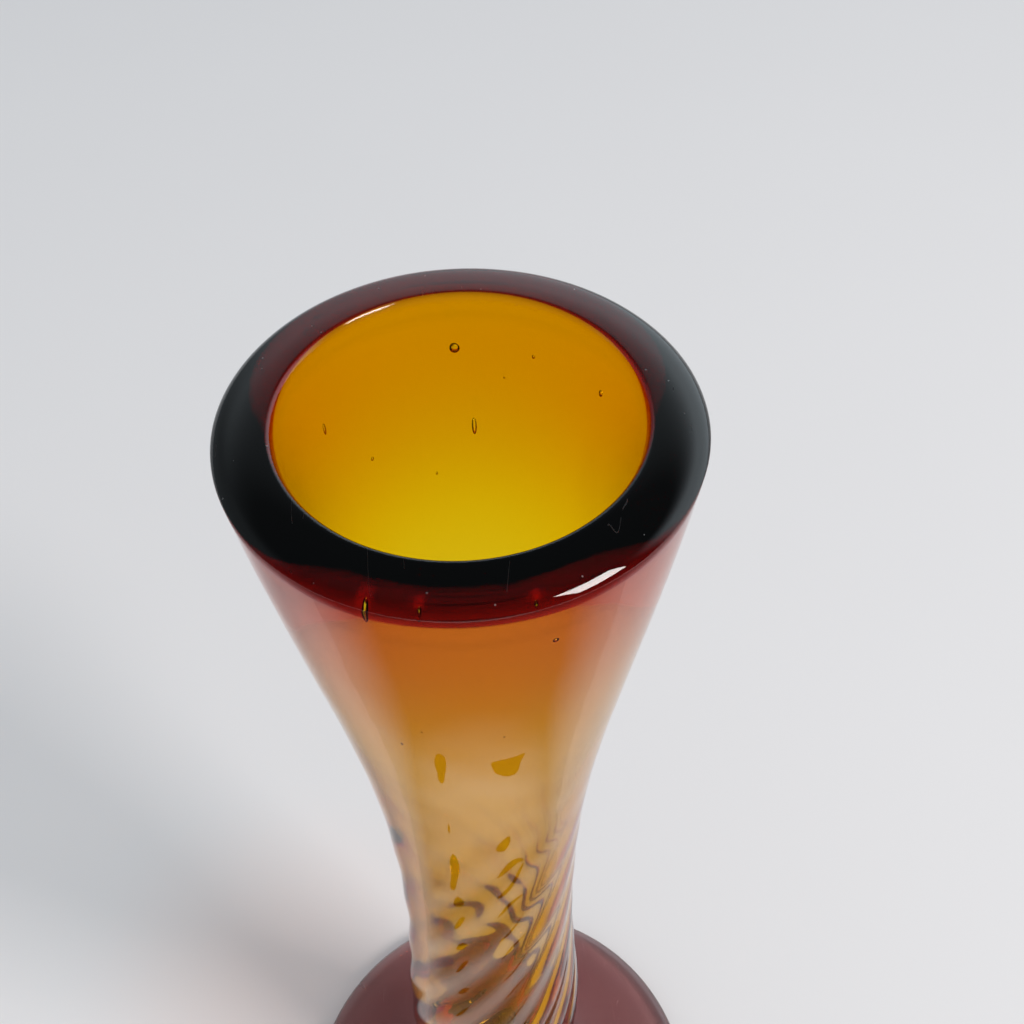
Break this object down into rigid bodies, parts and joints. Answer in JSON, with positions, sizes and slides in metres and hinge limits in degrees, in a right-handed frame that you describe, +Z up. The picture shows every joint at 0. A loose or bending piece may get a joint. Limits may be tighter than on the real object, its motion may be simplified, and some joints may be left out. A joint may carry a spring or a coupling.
{
  "type": "bud vase",
  "caption": "Footed bud vase in blown amber glass: flared mouth with a heavy rounded rim, slim neck, button and disc foot.",
  "frame": {"origin": "on the table, under the middle of the foot", "axes": "+Z up along the axis of the vase; the vase is round, so +X and +Y are free, and +X runs to the right in the front view"},
  "size_m": [0.082, 0.082, 0.212],
  "materials": {
    "amber_glass": "fire-polished blown glass, golden amber in a thin wall",
    "rim_glass": "the same amber glass, so thick that it looks nearly black",
    "foot_glass": "the same amber glass, dark purple-brown over its thickness"
  },
  "bodies": {
    "root": {"body": "amber_glass", "lip_wrap": "rim_glass", "button": "foot_glass", "foot": "foot_glass"}
  },
  "joints": []
}
